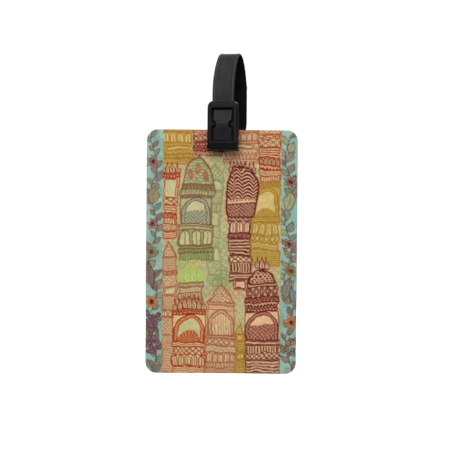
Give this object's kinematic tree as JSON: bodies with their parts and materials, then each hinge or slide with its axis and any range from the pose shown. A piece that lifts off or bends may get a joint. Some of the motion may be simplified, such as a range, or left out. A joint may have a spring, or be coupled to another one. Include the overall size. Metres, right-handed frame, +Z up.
{
  "type": "luggage tag",
  "caption": "Rectangular printed luggage tag with a slide-in address card, hung on a flat strap loop with a press-to-release buckle.",
  "frame": {"origin": "inside top of the strap loop, where the loop hangs on a bag's handle", "axes": "+Z up, towards the top of the loop; the printed face looks towards -Y; +X to the right seen from the front"},
  "size_m": [0.07, 0.0286, 0.1487],
  "materials": {
    "printed_panel": "printed, satin gloss",
    "tag_plastic": "fine moulded grain",
    "clear_window": "clear, polished",
    "frame_plastic": "fine moulded grain",
    "card_paper": "uncoated card",
    "black_strap": "soft satin",
    "black_buckle": "satin"
  },
  "bodies": {
    "plug_end": {"buckle_plug": "black_buckle", "strap_tail": "black_strap"},
    "loop_end": {"strap_loop": "black_strap", "buckle_housing": "black_buckle"},
    "tongue": {"release_tongue": "black_buckle"},
    "tag": {"front_panel": "printed_panel", "tag_body": "tag_plastic", "card_window": "clear_window", "back_frame": "frame_plastic"},
    "card": {"address_card": "card_paper"}
  },
  "joints": [
    {"name": "buckle_release", "type": "slide", "parent": "plug_end", "child": "loop_end", "axis": [0, 0, 1], "range_m": [0, 0.019], "deforming": ["release_tongue"]},
    {"name": "tongue_press", "type": "hinge", "parent": "plug_end", "child": "tongue", "pos_m": [-0.00314, -0.01215, -0.0394], "axis": [-0.9681, 0.2504, 0], "range_deg": [0, 7], "stiffness_Nm_per_rad": 0.3},
    {"name": "tag_swing", "type": "hinge", "parent": "plug_end", "child": "tag", "pos_m": [-0.00325, -0.0022, -0.03985], "axis": [1, 0, 0], "range_deg": [-12, 12]},
    {"name": "card_slide", "type": "slide", "parent": "tag", "child": "card", "axis": [1, 0, 0], "range_m": [0, 0.062]}
  ]
}
